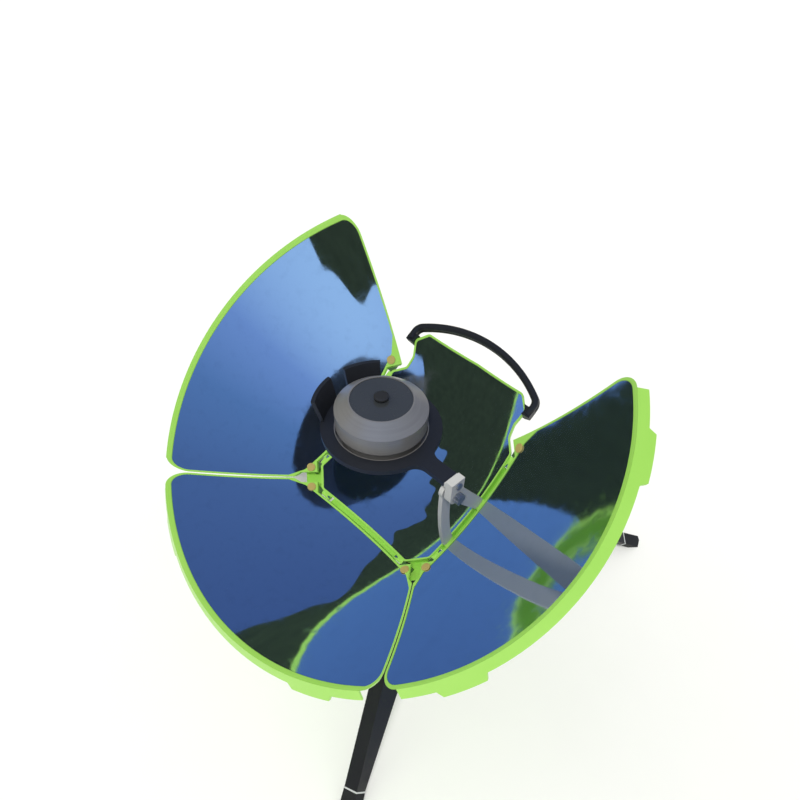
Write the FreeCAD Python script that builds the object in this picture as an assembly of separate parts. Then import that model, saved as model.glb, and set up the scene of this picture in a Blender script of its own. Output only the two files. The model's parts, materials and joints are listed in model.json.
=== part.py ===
"""Folding solar cooker: a parabolic mirror dish of one centre panel and three hinged petals on a low tripod,
with a pot ring on a fork at the focus.

Units are millimetres. The dish is drawn in its own frame, with the vertex of the mirror at the origin, the dish
axis along +Z, the carry handle on the +Y side and the pot fork on the +X side. It is then leaned back on the
tilt bolt and set on the tripod. The origin of the finished part is the bottom centre of its box.
"""
import FreeCAD, Part
import math
import os

Vec = FreeCAD.Vector
UP = Vec(0, 0, 1)
ALONG_X = Vec(1, 0, 0)
ALONG_Y = Vec(0, 1, 0)
CENTRE = Vec(0, 0, 0)

# Mirror dish
focal_length = 145.0
rim_radius = 366.0
hinge_share = 0.38525      # hinge lines as a share of the rim
channel_width = 9.0        # open channel between the panel and a petal
seam_gap = 2.2             # between two neighbouring petals
corner_cut = 40.0          # how far the panel's corners are cut back for the petal pads
pad_gap = 6.0              # between the cut corner and a pad, across the cut
pad_setback = 8.5          # the pads stand this far back from the seams, so that they pass each other
free_setback = 0.0         # at the uphill corners, where there is no neighbour
pad_shoulder_start = 2.6   # past the corner of the hinge lines, where a pad widens out to the seam
pad_shoulder_run = 10.0
petal_corner_radius = 24.0
mirror_thickness = 1.2
mirror_clearance = 0.2
lip_proud = 1.0            # the green lip stands this far in front of the mirror
seam_lip = 3.0
rim_lip = 5.5
edge_thickness = 1.4       # of a petal's tray at its seam
edge_slope = 1.0           # how fast the tray thickens away from the seam
tray_wall = 3.0            # plastic behind the mirror
rib_depth = 7.0
rib_width = 3.0
rib_seam_inset = 12.0
cross_rib_share = 0.7
rib_angle = 22.0
skirt_wall = 2.5
skirt_drop = 0.4           # below the front of the lip
skirt_flare = 13.0
lug_flare = 8.0            # extra width of the skirt near the petal corners
lug_length = 84.0
lug_angle = 28.0
lug_taper = 12.0
pad_mirror_start = 13.0    # before the corner of the hinge lines, where the mirror is cut for the pad
pad_mirror_run = 20.0      # past that corner along the seam, where the cut ends
bowl_cover = 1.35          # reach of the construction surface as a share of the rim

# Panel side with the handle, measured from the hinge lines
top_edge_past = 48.0
top_crest = 4.0
top_corner_in = 40.0
shoulder_in = 20.0
shoulder_past = 28.0
notch_in = 27.0
notch_past = 4.0
notch_foot_in = 24.0
outline_round = 10.0

# Petal hinges and the ledges behind their channels
hinge_sink = 2.4           # hinge line behind the mirror surface at the start of the lugs
hinge_pin_radius = 2.5
running_clearance = 0.06
hinge_lug_radius = 4.2
hinge_lug_share = 0.596    # start of the lugs along the hinge line
hinge_lug_length = 18.5
hinge_block_gap = 1.0
hinge_block_length = 20.0
hinge_block_radius = 4.2
hinge_block_width = 17.0
hinge_block_end = 2.0
ledge_wall = 3.5
ledge_depth = 15.5         # behind the mirror surface
ledge_thickness = 2.0
ledge_lap = 3.5            # how far a ledge reaches under the petal
corner_ledge_depth = 25.0
corner_ledge_reach = 32.0
rivet_head_radius = 7.5
rivet_head_height = 2.0
rivet_sink = 0.5           # the pad is faced off this deep under the rivet's head
rivet_shank_radius = 2.5
rivet_length = 11.0
rivet_inset = 4.5354       # from the end of the hinge block along the hinge line
rivet_outward = 4.0

# Carry handle
handle_past = 85.0         # crest of the grip's middle line past the fourth hinge line
handle_rise = 14.411       # grip's middle line above the panel's top edge
handle_arch_radius = 234.0
handle_arch_angle = 31.0   # each side of the crest
handle_bend_radius = 16.0
handle_bend_angle = 73.0
handle_tail = 9.0
grip_ridge_radius = 5.6
grip_ridge_offset = 3.8
bracket_width = 15.0
bracket_reach = 8.0        # each side of the screw
handle_screw_in = 30.0
handle_screw_radius = 2.0
handle_screw_length = 16.0
handle_screw_head_radius = 4.0
handle_screw_head_height = 2.4

# Pot fork and levelling pivot
ring_height = 194.0        # ring centre above the mirror vertex
ring_uphill = 17.0
pivot_below_ring = 28.0
fork_inset = 0.5           # outer face of the fork inside the hinge line
fork_thickness = 7.0
fork_leg_width = 20.0
upright_foot = 11.0        # uphill of the pivot
slanted_foot = 67.0        # downhill of the pivot
slant_bow = 8.0
fork_head_radius = 14.0
prong_thickness = 4.0
prong_width = 12.0
prong_depth = 12.0
prong_rise = 10.0
prong_clearance = 0.2
socket_wall = 3.5
socket_depth = 15.0
pivot_bolt_radius = 4.0
pivot_washer_thickness = 3.0
pivot_washer_radius = 9.0
pivot_head_radius = 7.0
pivot_head_height = 4.0
thumb_nut_radius = 9.0
thumb_nut_height = 9.0
thumb_nut_notches = 8

# Pot ring
ring_radius = 91.0
ring_band = 20.0
ring_thickness = 8.0
tang_width = 26.0
tang_neck = 20.0           # radius of the blend where the tang leaves the ring
collar_length = 3.0
arm_thickness = 12.0
arm_width = 26.0
clamp_screw_radius = 3.0
clamp_screw_head_radius = 5.5
clamp_screw_head_height = 3.5
ear_height = 38.0
ear_wall = 6.0
ear_lean = 12.0
ear_gap_angle = 16.0
ear_span_angle = 34.0
liner_wall = 1.2
liner_depth = 20.0
liner_clearance = 0.2
liner_hole_radius = 50.0

# Pot and lid
pot_radius = 69.0
pot_base_radius = 62.0
pot_wall = 1.6
pot_step_height = 9.0      # above the ring, where the wide band starts
pot_rim_height = 36.0
pot_seat_clearance = 0.3
lid_disc_radius = 46.0
lid_height = 17.0
lid_recess = 2.5
lid_wall = 2.0
lid_clearance = 0.3
lid_skirt_depth = 6.0
knob_radius = 11.0
knob_stem_radius = 6.0
knob_height = 9.0

# Tilt head
dish_tilt = 34.0           # lean of the dish axis from upright, as shown
tilt_axis_drop = 70.0      # tilt bolt behind the mirror vertex
tilt_axis_level = 372.0    # tilt bolt above the ground
boss_length = 110.0
boss_width = 88.0
boss_drop = 16.0
bracket_plate = 6.0
bracket_ear_thickness = 8.0
bracket_ear_radius = 16.0
tilt_lug_width = 28.0
side_clearance = 0.3
tilt_bolt_radius = 5.0
tilt_bolt_head_radius = 9.0
tilt_bolt_head_height = 6.0
tilt_knob_radius = 22.0
tilt_knob_length = 18.0
tilt_knob_lobes = 6
tilt_knob_lobe_radius = 6.0
bracket_screw_radius = 2.5
bracket_screw_length = 12.0
bracket_screw_head_radius = 4.5
bracket_screw_head_height = 3.0
bracket_screw_inset = 9.0

# Swivel head and hub
head_disc_radius = 38.0
head_disc_thickness = 8.0
head_disc_drop = 26.0      # below the tilt bolt
spigot_radius = 12.0
swivel_washer_thickness = 1.5
swivel_washer_radius = 35.0
hub_radius = 40.0
hub_height = 46.0
swivel_nut_radius = 19.0
swivel_nut_height = 7.0

# Tripod legs
leg_angles = (-60.0, 60.0, 180.0)
leg_pivot_radius = 54.0
leg_pivot_drop = 24.0      # below the top of the hub
foot_reach = 522.0         # swivel axis to where a leg meets the ground
leg_pin_radius = 5.0
leg_pin_head_radius = 8.0
leg_pin_head_height = 3.0
leg_tongue_width = 28.0
leg_tongue_radius = 14.0
clevis_cheek = 8.0
leg_body_start = 26.0      # along the leg from its pivot
leg_taper_end = 0.92       # share of the leg's length where the foot begins
leg_top_widths = (25.0, 30.0)    # left and right of the ridge
leg_knee_widths = (26.0, 35.0)
leg_foot_widths = (26.0, 13.0)
leg_knee = 0.42            # share of the leg's length where it is widest
leg_ridge_height = 13.0
leg_edge_height = 4.0
leg_back_depth = 13.0
leg_back_depth_foot = 8.0
trim_length = 3.0
trim_proud = 0.8
foot_overlap = 4.0

hinge_reach = hinge_share * rim_radius
cross_rib_radius = cross_rib_share * rim_radius
petal_angles = {"right": 0.0, "left": 180.0, "lower": 270.0}
petal_setbacks = {"right": (free_setback, pad_setback), "left": (pad_setback, free_setback),
                  "lower": (pad_setback, pad_setback)}
corner_angles = (225.0, 315.0)


def bowl_layer(front, back):
    """Solid between two set-backs behind the mirror surface, measured along the dish axis."""
    reach = bowl_cover * rim_radius
    rise = reach * reach / (4.0 * focal_length)
    places = (-reach, 0.0, reach)
    heights = (rise, -rise, rise)
    poles = [[Vec(x, y, rise_x + rise_y - back) for y, rise_y in zip(places, heights)]
             for x, rise_x in zip(places, heights)]
    surface = Part.BSplineSurface()
    surface.buildFromPolesMultsKnots(poles, [3, 3], [3, 3], [0.0, 1.0], [0.0, 1.0], False, False, 2, 2)
    return surface.toShape().extrude(Vec(0, 0, back - front))


def mirror_height(x, y):
    return (x * x + y * y) / (4.0 * focal_length)


def mirror_normal(x, y):
    normal = Vec(-x, -y, 2.0 * focal_length)
    return normal.normalize()


def closed_face(points):
    return Part.Face(Part.makePolygon(list(points) + [points[0]]))


def prism(face):
    """Upright prism of a plan outline, from behind the dish to well in front of its rim."""
    lowered = face.copy()
    lowered.translate(Vec(0, 0, -tilt_axis_drop))
    return lowered.extrude(Vec(0, 0, tilt_axis_drop + 2.0 * mirror_height(rim_radius, 0)))


def plan_box(x, y, width, length):
    """Upright prism of a rectangle in plan."""
    return prism(closed_face([Vec(x, y, 0), Vec(x + width, y, 0),
                              Vec(x + width, y + length, 0), Vec(x, y + length, 0)]))


def seam_point(along, inset):
    """Point beside the seam on a petal that points along +X, at a distance from the axis along the seam."""
    aside = seam_gap / 2.0 + inset
    return Vec(along + aside, along - aside, 0) / math.sqrt(2.0)


def pad_corner(inner, setback):
    """Corner pad of a petal that points along +X, from the inner edge round to the seam."""
    shoulder = math.sqrt(2.0) * hinge_reach + pad_shoulder_start
    return [Vec(inner, pad_sum() - inner, 0), seam_point(pad_sum() / math.sqrt(2.0), setback),
            seam_point(shoulder, setback), seam_point(shoulder + pad_shoulder_run, 0.0)]


def mirror_corner(inner, seam_inset):
    """Cut that keeps the mirror of a petal that points along +X clear of the pad."""
    return [Vec(inner, hinge_reach - pad_mirror_start, 0),
            seam_point(math.sqrt(2.0) * hinge_reach + pad_mirror_run, seam_inset)]


def petal_outline(seam_inset, rim_inset, inner_inset, setbacks=None):
    """Plan of a petal that points along +X: a quarter sector, with pads if it is given their setbacks."""
    inner = hinge_reach + channel_width / 2.0 + inner_inset
    reach = rim_radius - rim_inset
    radius = petal_corner_radius - rim_inset
    aside = seam_gap / 2.0 + seam_inset + radius
    corner = seam_point(math.sqrt((reach - radius) ** 2 - aside ** 2), seam_inset + radius)
    to_line = Vec(-1, 1, 0).normalize()
    to_rim = Vec(corner).normalize()
    bisector = (to_line + to_rim).normalize()
    on_line = corner + to_line * radius
    on_rim = corner + to_rim * radius
    on_bend = corner + bisector * radius
    edges = [Part.Arc(on_rim, Vec(reach, 0, 0), Vec(on_rim.x, -on_rim.y, 0)).toShape()]
    starts = []
    for number in range(2):
        points = pad_corner(inner, setbacks[number]) if setbacks else mirror_corner(inner, seam_inset)
        points.append(on_line)
        side = [Part.makeLine(one, other) for one, other in zip(points, points[1:])]
        side.append(Part.Arc(on_line, on_bend, on_rim).toShape())
        if number == 0:
            edges += side
            starts.append(points[0])
        else:
            edges += [edge.mirror(CENTRE, ALONG_Y) for edge in side]
            starts.append(Vec(points[0].x, -points[0].y, 0))
    edges.append(Part.makeLine(starts[1], starts[0]))
    rim_half_angle = math.degrees(math.atan2(on_rim.y, on_rim.x))
    return Part.Face(Part.Wire(Part.__sortEdges__(edges))), rim_half_angle


def seam_relief():
    """Tools that thin a petal's tray towards its two seams, so that a petal swings past its open neighbour."""
    shift = math.sqrt(2.0) * focal_length * edge_slope
    rise = lip_proud - edge_thickness + edge_slope * seam_gap / 2.0 - shift * shift / (2.0 * focal_length)
    tool = bowl_layer(0.0, tilt_axis_drop)
    tool.translate(Vec(shift, -shift, rise))
    return both_sides(tool)


def pad_sum():
    return 2.0 * hinge_reach - corner_cut + math.sqrt(2.0) * pad_gap


def both_sides(shape):
    """A shape and its mirror image across the XZ plane."""
    return [shape, shape.mirror(CENTRE, ALONG_Y)]


def hinge_lug_start():
    return hinge_lug_share * hinge_reach


def hinge_axis_height():
    return mirror_height(hinge_reach, hinge_lug_start()) - hinge_sink


def hinge_block_span():
    start = hinge_lug_start() + hinge_lug_length + hinge_block_gap
    return start, start + hinge_block_length


def rivet_place():
    x = hinge_reach + rivet_outward
    y = hinge_block_span()[1] - rivet_inset
    normal = mirror_normal(x, y)
    return Vec(x, y, mirror_height(x, y)) + normal * (lip_proud - rivet_sink), normal


def petal_rivet(clearance=0.0):
    """Brass rivet through a corner pad, drawn on the +Y side of a petal that points along +X."""
    seat, normal = rivet_place()
    shank = Part.makeCylinder(rivet_shank_radius + clearance, rivet_length, seat, normal * -1.0)
    if clearance:
        return shank
    head = Part.makeCylinder(rivet_head_radius, rivet_head_height, seat, normal)
    rim_edge = [edge for edge in head.Edges if edge.Length > 1 and edge.Closed]
    head = head.makeFillet(rivet_head_height / 3.0, rim_edge[:1])
    return head.fuse(shank)


def rivet_flat():
    """Tool that faces the pad off square under the rivet head."""
    seat, normal = rivet_place()
    return Part.makeCylinder(rivet_head_radius + mirror_clearance, rivet_head_height * 2.0, seat, normal)


def petal_frame(setbacks):
    """Moulded tray of one petal: lip, floor, back ribs, rim skirt with its lugs, and two corner pads."""
    outline, rim_half_angle = petal_outline(0, 0, 0, setbacks)
    pocket, unused_angle = petal_outline(seam_lip, rim_lip, seam_lip)
    rib_zone, unused_angle = petal_outline(rib_seam_inset, rim_lip, 0)
    floor = mirror_thickness + mirror_clearance
    back = floor + tray_wall
    tray = bowl_layer(-lip_proud, back).common(prism(outline))
    tray = tray.cut(bowl_layer(-lip_proud * 4.0, floor).common(prism(pocket)))
    for tool in seam_relief():
        tray = tray.cut(tool)
    rib_layer = bowl_layer(floor + tray_wall / 2.0, back + rib_depth).common(prism(rib_zone))
    plans = []
    for angle in (-rib_angle, 0.0, rib_angle):
        slab = plan_box(0, -rib_width / 2.0, rim_radius, rib_width)
        slab.rotate(CENTRE, UP, angle)
        plans.append(slab)
    outer = Part.Face(Part.Wire(Part.makeCircle(cross_rib_radius + rib_width)))
    inner = Part.Face(Part.Wire(Part.makeCircle(cross_rib_radius)))
    plans.append(prism(outer.cut(inner).Faces[0]))
    edge = hinge_reach + channel_width / 2.0
    plans.append(plan_box(edge, -hinge_lug_start(), rib_width, 2.0 * hinge_lug_start()))
    ribs = [plan.common(rib_layer) for plan in plans]
    frame = tray.fuse(ribs + [rim_skirt(rim_half_angle)])
    for tool in both_sides(petal_rivet(running_clearance)) + both_sides(rivet_flat()):
        frame = frame.cut(tool)
    return frame.removeSplitter()


def rim_skirt(half_angle):
    """Wall that flares outward behind the rim, wider at a tapered lug near each corner."""
    top = mirror_height(rim_radius, 0) + lip_proud - skirt_drop

    def band(flare):
        face = closed_face([Vec(rim_radius - skirt_wall, 0, top - skirt_wall), Vec(rim_radius, 0, top),
                            Vec(rim_radius + flare, 0, top - flare),
                            Vec(rim_radius + flare - skirt_wall, 0, top - flare - skirt_wall)])
        face.rotate(CENTRE, UP, -half_angle)
        return face.revolve(CENTRE, UP, 2.0 * half_angle)

    half = lug_length / 2.0
    lugs = []
    for angle in (-lug_angle, lug_angle):
        end = rim_radius + skirt_flare + lug_flare
        plan = prism(closed_face([Vec(rim_radius - lug_length, -half, 0), Vec(rim_radius, -half, 0),
                                  Vec(end, lug_taper - half, 0), Vec(end, half - lug_taper, 0),
                                  Vec(rim_radius, half, 0), Vec(rim_radius - lug_length, half, 0)]))
        plan.rotate(CENTRE, UP, angle)
        lugs.append(band(skirt_flare + lug_flare).common(plan))
    return band(skirt_flare).fuse(lugs)


def petal_mirror():
    pocket, unused_angle = petal_outline(seam_lip + mirror_clearance, rim_lip + mirror_clearance,
                                         seam_lip + mirror_clearance)
    return bowl_layer(0.0, mirror_thickness).common(prism(pocket))


def petal_hinge_block():
    """Knuckle under a corner pad: a barrel on the hinge line with a foot that fits the pad's underside."""
    start, end = hinge_block_span()
    axis_height = hinge_axis_height()
    barrel = Part.makeCylinder(hinge_block_radius, end - start, Vec(hinge_reach, start, axis_height), ALONG_Y)
    foot = Part.makeBox(hinge_block_width, end - start, axis_height,
                        Vec(hinge_reach - hinge_block_radius, start, axis_height))
    floor = mirror_thickness + mirror_clearance + tray_wall
    block = barrel.fuse(foot).cut(bowl_layer(-axis_height, floor))
    bore = Part.makeCylinder(hinge_pin_radius + running_clearance, end - start - hinge_block_end,
                             Vec(hinge_reach, start, axis_height), ALONG_Y)
    return block.cut(bore).cut(petal_rivet(running_clearance))


def hinge_pin():
    start = hinge_lug_start()
    end = hinge_block_span()[1] - hinge_block_end - side_clearance
    place = Vec(hinge_reach, start, hinge_axis_height())
    return Part.makeCylinder(hinge_pin_radius, end - start, place, ALONG_Y)


def rounded_outline(points, radius):
    """Plan face through the points with every corner rounded, less where two corners are close."""
    tangents = []
    for before, corner, after in zip(points[-1:] + points[:-1], points, points[1:] + points[:1]):
        to_before = before - corner
        to_after = after - corner
        half_angle = to_before.getAngle(to_after) / 2.0
        run = min(radius / math.tan(half_angle), 0.45 * to_before.Length, 0.45 * to_after.Length)
        bend = run * math.tan(half_angle)
        bisector = (Vec(to_before).normalize() + Vec(to_after).normalize()).normalize()
        tangents.append((corner + to_before.normalize() * run,
                         corner + bisector * (bend / math.sin(half_angle) - bend),
                         corner + to_after.normalize() * run))
    edges = [Part.Arc(*tangent).toShape() for tangent in tangents]
    for one, other in zip(tangents, tangents[1:] + tangents[:1]):
        edges.append(Part.makeLine(one[2], other[0]))
    return Part.Face(Part.Wire(Part.__sortEdges__(edges)))


def panel_outline(inset):
    """Plan of the centre panel: three hinge sides with cut corners and a raised top side with the handle."""
    edge = hinge_reach - channel_width / 2.0
    cut_sum = 2.0 * hinge_reach - corner_cut
    notch_foot = hinge_reach - notch_foot_in
    half = [Vec(cut_sum - edge, -edge, 0), Vec(edge, edge - cut_sum, 0), Vec(edge, cut_sum - edge, 0),
            Vec(notch_foot, cut_sum - notch_foot, 0), Vec(hinge_reach - notch_in, hinge_reach + notch_past, 0),
            Vec(hinge_reach - shoulder_in, hinge_reach + shoulder_past, 0),
            Vec(hinge_reach - top_corner_in, hinge_reach + top_edge_past, 0)]
    crest = Vec(0, hinge_reach + top_edge_past + top_crest, 0)
    other = [Vec(-point.x, point.y, 0) for point in reversed(half)]
    outline = rounded_outline(half + [crest] + other, outline_round)
    if inset:
        outline = outline.makeOffset2D(-inset)
    return outline


def ledge(edge, depth, reach, half_length):
    """Angle strip on the +X side: a wall behind the panel's edge and a floor that reaches out."""
    start = edge - ledge_wall
    back = mirror_thickness + mirror_clearance + tray_wall / 2.0
    wall = bowl_layer(back, depth).common(plan_box(start, -half_length, ledge_wall, 2.0 * half_length))
    floor = bowl_layer(depth - ledge_thickness, depth)
    floor = floor.common(plan_box(start, -half_length, ledge_wall + reach, 2.0 * half_length))
    return [wall, floor]


def panel_ledges():
    """Ledges that close the hinge channels, and the corners between two petals, from behind."""
    side = ledge(hinge_reach - channel_width / 2.0, ledge_depth, channel_width + ledge_lap, hinge_lug_start())
    corner_edge = (2.0 * hinge_reach - corner_cut) / math.sqrt(2.0)
    corner = ledge(corner_edge, corner_ledge_depth, corner_ledge_reach, corner_cut / 2.0)
    ledges = []
    for pieces, angles in ((side, petal_angles.values()), (corner, corner_angles)):
        for angle in angles:
            for piece in pieces:
                placed = piece.copy()
                placed.rotate(CENTRE, UP, angle)
                ledges.append(placed)
    return ledges


def panel_frame():
    """Moulded tray of the centre panel with ribs, hinge lugs, channel ledges, fork sockets and bracket boss."""
    floor = mirror_thickness + mirror_clearance
    back = floor + tray_wall
    tray = bowl_layer(-lip_proud, back).common(prism(panel_outline(0)))
    pocket = prism(panel_outline(seam_lip))
    tray = tray.cut(bowl_layer(-lip_proud * 4.0, floor).common(pocket))
    rib_layer = bowl_layer(floor + tray_wall / 2.0, back + rib_depth).common(pocket)
    ribs = []
    span = 4.0 * hinge_reach
    for place in (-hinge_reach * 0.6, 0.0, hinge_reach * 0.6):
        for plan in (plan_box(place - rib_width / 2.0, -span / 2.0, rib_width, span),
                     plan_box(-span / 2.0, place - rib_width / 2.0, span, rib_width)):
            ribs.append(plan.common(rib_layer))
    boss = Part.makeBox(boss_length, boss_width, 2.0 * boss_drop,
                        Vec(-boss_length / 2.0, -boss_width / 2.0, -boss_drop))
    ribs.append(boss.cut(bowl_layer(-tilt_axis_drop, floor + tray_wall / 2.0)))
    for angle in petal_angles.values():
        for lug in both_sides(panel_hinge_lug()):
            lug.rotate(CENTRE, UP, angle)
            ribs.append(lug)
    frame = tray.fuse(ribs + panel_ledges() + fork_sockets())
    for tool in fork_prongs(prong_clearance) + handle_screw_shanks(running_clearance):
        frame = frame.cut(tool)
    for tool in bracket_screw_shanks(running_clearance):
        frame = frame.cut(tool)
    return frame.removeSplitter()


def panel_hinge_lug():
    """Ear on the panel's edge that holds one end of a hinge pin, below the front of the lip."""
    start = Vec(hinge_reach, hinge_lug_start(), hinge_axis_height())
    barrel = Part.makeCylinder(hinge_lug_radius, hinge_lug_length, start, ALONG_Y)
    web = Part.makeBox(channel_width + hinge_lug_radius, hinge_lug_length, 2.0 * hinge_lug_radius,
                       start - Vec(channel_width + hinge_lug_radius, 0, hinge_lug_radius))
    bore = Part.makeCylinder(hinge_pin_radius, hinge_lug_length, start, ALONG_Y)
    lug = barrel.fuse(web).cut(bowl_layer(-tilt_axis_drop, mirror_thickness + mirror_clearance))
    return lug.cut(bore)


def panel_mirror():
    return bowl_layer(0.0, mirror_thickness).common(prism(panel_outline(seam_lip + mirror_clearance)))


def fork_outer():
    """Outer face of the fork, just inside the hinge line so that the right petal can fold past it."""
    return hinge_reach - fork_inset


def fork_feet():
    """Middle of the upright leg's foot and of the slanted leg's foot along the right-hand edge."""
    return pivot_place().y + upright_foot, pivot_place().y - slanted_foot


def pivot_place():
    """Levelling pivot in the dish frame: straight below the ring's tang when the ring is level."""
    lean = math.radians(dish_tilt)
    return Vec(fork_outer() - fork_thickness / 2.0, ring_uphill - pivot_below_ring * math.sin(lean),
               ring_height - pivot_below_ring * math.cos(lean))


def fork_base(y):
    """Height of the socket mouth at a foot, just under the front of the panel's lip."""
    return mirror_height(hinge_reach, y) - lip_proud


def fork_sockets():
    sockets = []
    start = fork_outer() - prong_thickness - 2.0 * socket_wall
    width = prong_width + 2.0 * socket_wall
    for y in fork_feet():
        sockets.append(Part.makeBox(fork_outer() + socket_wall - start, width, socket_depth,
                                    Vec(start, y - width / 2.0, fork_base(y) - socket_depth)))
    front = mirror_thickness + mirror_clearance
    return [socket.cut(bowl_layer(-tilt_axis_drop, front)) for socket in sockets]


def fork_prongs(clearance):
    prongs = []
    for y in fork_feet():
        thick = prong_thickness + 2.0 * clearance
        width = prong_width + 2.0 * clearance
        prongs.append(Part.makeBox(thick, width, prong_depth + prong_rise + clearance,
                                   Vec(fork_outer() + clearance - thick, y - width / 2.0,
                                       fork_base(y) - prong_depth - clearance)))
    return prongs


def pot_fork():
    """Grey fork: an upright bar and a curved slanted leg from the panel's edge to the eye of the pivot."""
    pivot = pivot_place()
    upright, slanted = fork_feet()
    half = fork_leg_width / 2.0
    low = fork_base(upright)
    slant_low = fork_base(slanted)
    knee_height = slant_low + (pivot.z - slant_low) * 0.5
    bar = closed_face([Vec(0, upright - half, low), Vec(0, upright + half, low),
                       Vec(0, pivot.y + fork_head_radius, pivot.z),
                       Vec(0, pivot.y - fork_head_radius, pivot.z)])
    outer = Part.Arc(Vec(0, slanted - half, slant_low),
                     Vec(0, (slanted + pivot.y) / 2.0 - half - slant_bow, knee_height),
                     Vec(0, pivot.y - fork_head_radius, pivot.z)).toShape()
    inner = Part.Arc(Vec(0, slanted + half, slant_low),
                     Vec(0, (slanted + pivot.y) / 2.0 + half - slant_bow, knee_height),
                     Vec(0, pivot.y, pivot.z - fork_head_radius)).toShape()
    ends = [Part.makeLine(Vec(0, slanted - half, slant_low), Vec(0, slanted + half, slant_low)),
            Part.makeLine(Vec(0, pivot.y - fork_head_radius, pivot.z),
                          Vec(0, pivot.y, pivot.z - fork_head_radius))]
    slant = Part.Face(Part.Wire(Part.__sortEdges__([outer, inner] + ends)))
    inside = fork_outer() - fork_thickness
    legs = []
    for face in (bar, slant):
        face.translate(Vec(inside, 0, 0))
        legs.append(face.extrude(Vec(fork_thickness, 0, 0)))
    eye = Part.makeCylinder(fork_head_radius, fork_thickness, Vec(inside, pivot.y, pivot.z), ALONG_X)
    fork = eye.fuse(legs).cut(bowl_layer(-lip_proud - side_clearance, tilt_axis_drop))
    fork = fork.fuse(fork_prongs(0.0))
    bore = Part.makeCylinder(pivot_bolt_radius, 2.0 * fork_thickness,
                             Vec(inside - fork_thickness / 2.0, pivot.y, pivot.z), ALONG_X)
    return fork.cut(bore).removeSplitter()


def arm_span():
    """Inner and outer X of the levelling arm, outside the fork and its washer."""
    inner = fork_outer() + pivot_washer_thickness + side_clearance
    return inner, inner + arm_thickness


def pivot_bolt():
    pivot = pivot_place()
    inside = fork_outer() - fork_thickness
    outside = arm_span()[1] + side_clearance + thumb_nut_height
    shank = Part.makeCylinder(pivot_bolt_radius, outside - inside, Vec(inside, pivot.y, pivot.z), ALONG_X)
    head = Part.makeCylinder(pivot_head_radius, pivot_head_height,
                             Vec(inside - pivot_head_height, pivot.y, pivot.z), ALONG_X)
    return head.fuse(shank)


def pivot_washer():
    pivot = pivot_place()
    start = Vec(fork_outer(), pivot.y, pivot.z)
    disc = Part.makeCylinder(pivot_washer_radius, pivot_washer_thickness, start, ALONG_X)
    bore = Part.makeCylinder(pivot_bolt_radius + running_clearance, pivot_washer_thickness, start, ALONG_X)
    return disc.cut(bore)


def thumb_nut():
    """Round nut with finger notches that clamps the levelling arm."""
    pivot = pivot_place()
    start = Vec(arm_span()[1] + side_clearance, pivot.y, pivot.z)
    nut = Part.makeCylinder(thumb_nut_radius, thumb_nut_height, start, ALONG_X)
    for step in range(thumb_nut_notches):
        notch = Part.makeCylinder(thumb_nut_radius / 5.0, thumb_nut_height,
                                  start + Vec(0, thumb_nut_radius, 0), ALONG_X)
        notch.rotate(start, ALONG_X, step * 360.0 / thumb_nut_notches)
        nut = nut.cut(notch)
    return nut.cut(Part.makeCylinder(pivot_bolt_radius + running_clearance, thumb_nut_height, start, ALONG_X))


def grip_section():
    """Two rounded ridges in one outline, drawn in the YZ plane about the grip's middle line."""
    reach = grip_ridge_radius + grip_ridge_offset
    waist = math.sqrt(grip_ridge_radius ** 2 - grip_ridge_offset ** 2)
    upper = Part.Arc(Vec(0, waist, 0), Vec(0, 0, reach), Vec(0, -waist, 0)).toShape()
    lower = Part.Arc(Vec(0, -waist, 0), Vec(0, 0, -reach), Vec(0, waist, 0)).toShape()
    return Part.Face(Part.Wire([upper, lower]))


def carry_handle():
    """Arched two-ridge grip that bends down at both ends to brackets behind the panel's shoulders."""
    crest = Vec(0, hinge_reach + handle_past, handle_height())
    arch_centre = crest - Vec(0, handle_arch_radius, 0)
    section = grip_section()
    section.translate(crest)
    section.rotate(arch_centre, UP, -handle_arch_angle)
    pieces = [section.revolve(arch_centre, UP, 2.0 * handle_arch_angle)]
    bend_centre = arch_centre + Vec(0, handle_arch_radius - handle_bend_radius, 0)
    for side in (-1.0, 1.0):
        end = grip_section()
        end.translate(crest)
        turn = end.revolve(bend_centre, UP, -side * handle_bend_angle)
        tail = end.copy()
        tail.rotate(bend_centre, UP, -side * handle_bend_angle)
        tail_direction = FreeCAD.Rotation(UP, -side * handle_bend_angle).multVec(Vec(side, 0, 0))
        tail = tail.extrude(tail_direction * handle_tail)
        for piece in (turn, tail):
            piece.rotate(arch_centre, UP, -side * handle_arch_angle)
            pieces.append(piece)
    grip = pieces[0].fuse(pieces[1:] + handle_brackets())
    for tool in handle_screw_shanks(running_clearance):
        grip = grip.cut(tool)
    return grip.removeSplitter()


def handle_brackets():
    """Tapered brackets from the grip's ends round the panel's edge to the back of its shoulders."""
    back = mirror_thickness + mirror_clearance + tray_wall
    panel = bowl_layer(-tilt_axis_drop, back).common(prism(panel_outline(-side_clearance)))
    place = handle_screw_places()[1]
    low = handle_screw_low()
    top = handle_height() + grip_ridge_radius
    inner = place.x - bracket_reach
    profile = closed_face([Vec(inner, 0, low), Vec(place.x + bracket_reach, 0, low),
                           Vec(handle_outer() + grip_ridge_radius, 0, handle_height() - grip_ridge_radius),
                           Vec(handle_outer() + grip_ridge_radius, 0, top), Vec(inner, 0, top)])
    profile.translate(Vec(0, place.y - bracket_width / 2.0, 0))
    bracket = profile.extrude(Vec(0, bracket_width, 0)).cut(panel)
    return [bracket, bracket.mirror(CENTRE, ALONG_X)]


def handle_height():
    """Level of the grip's middle line, carried up with the panel's top edge."""
    return mirror_height(0, hinge_reach + top_edge_past) + handle_rise


def handle_outer():
    """Largest X of the grip's middle line, at its end bends."""
    angle = math.radians(handle_arch_angle)
    return (handle_arch_radius - handle_bend_radius) * math.sin(angle) + handle_bend_radius


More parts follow.
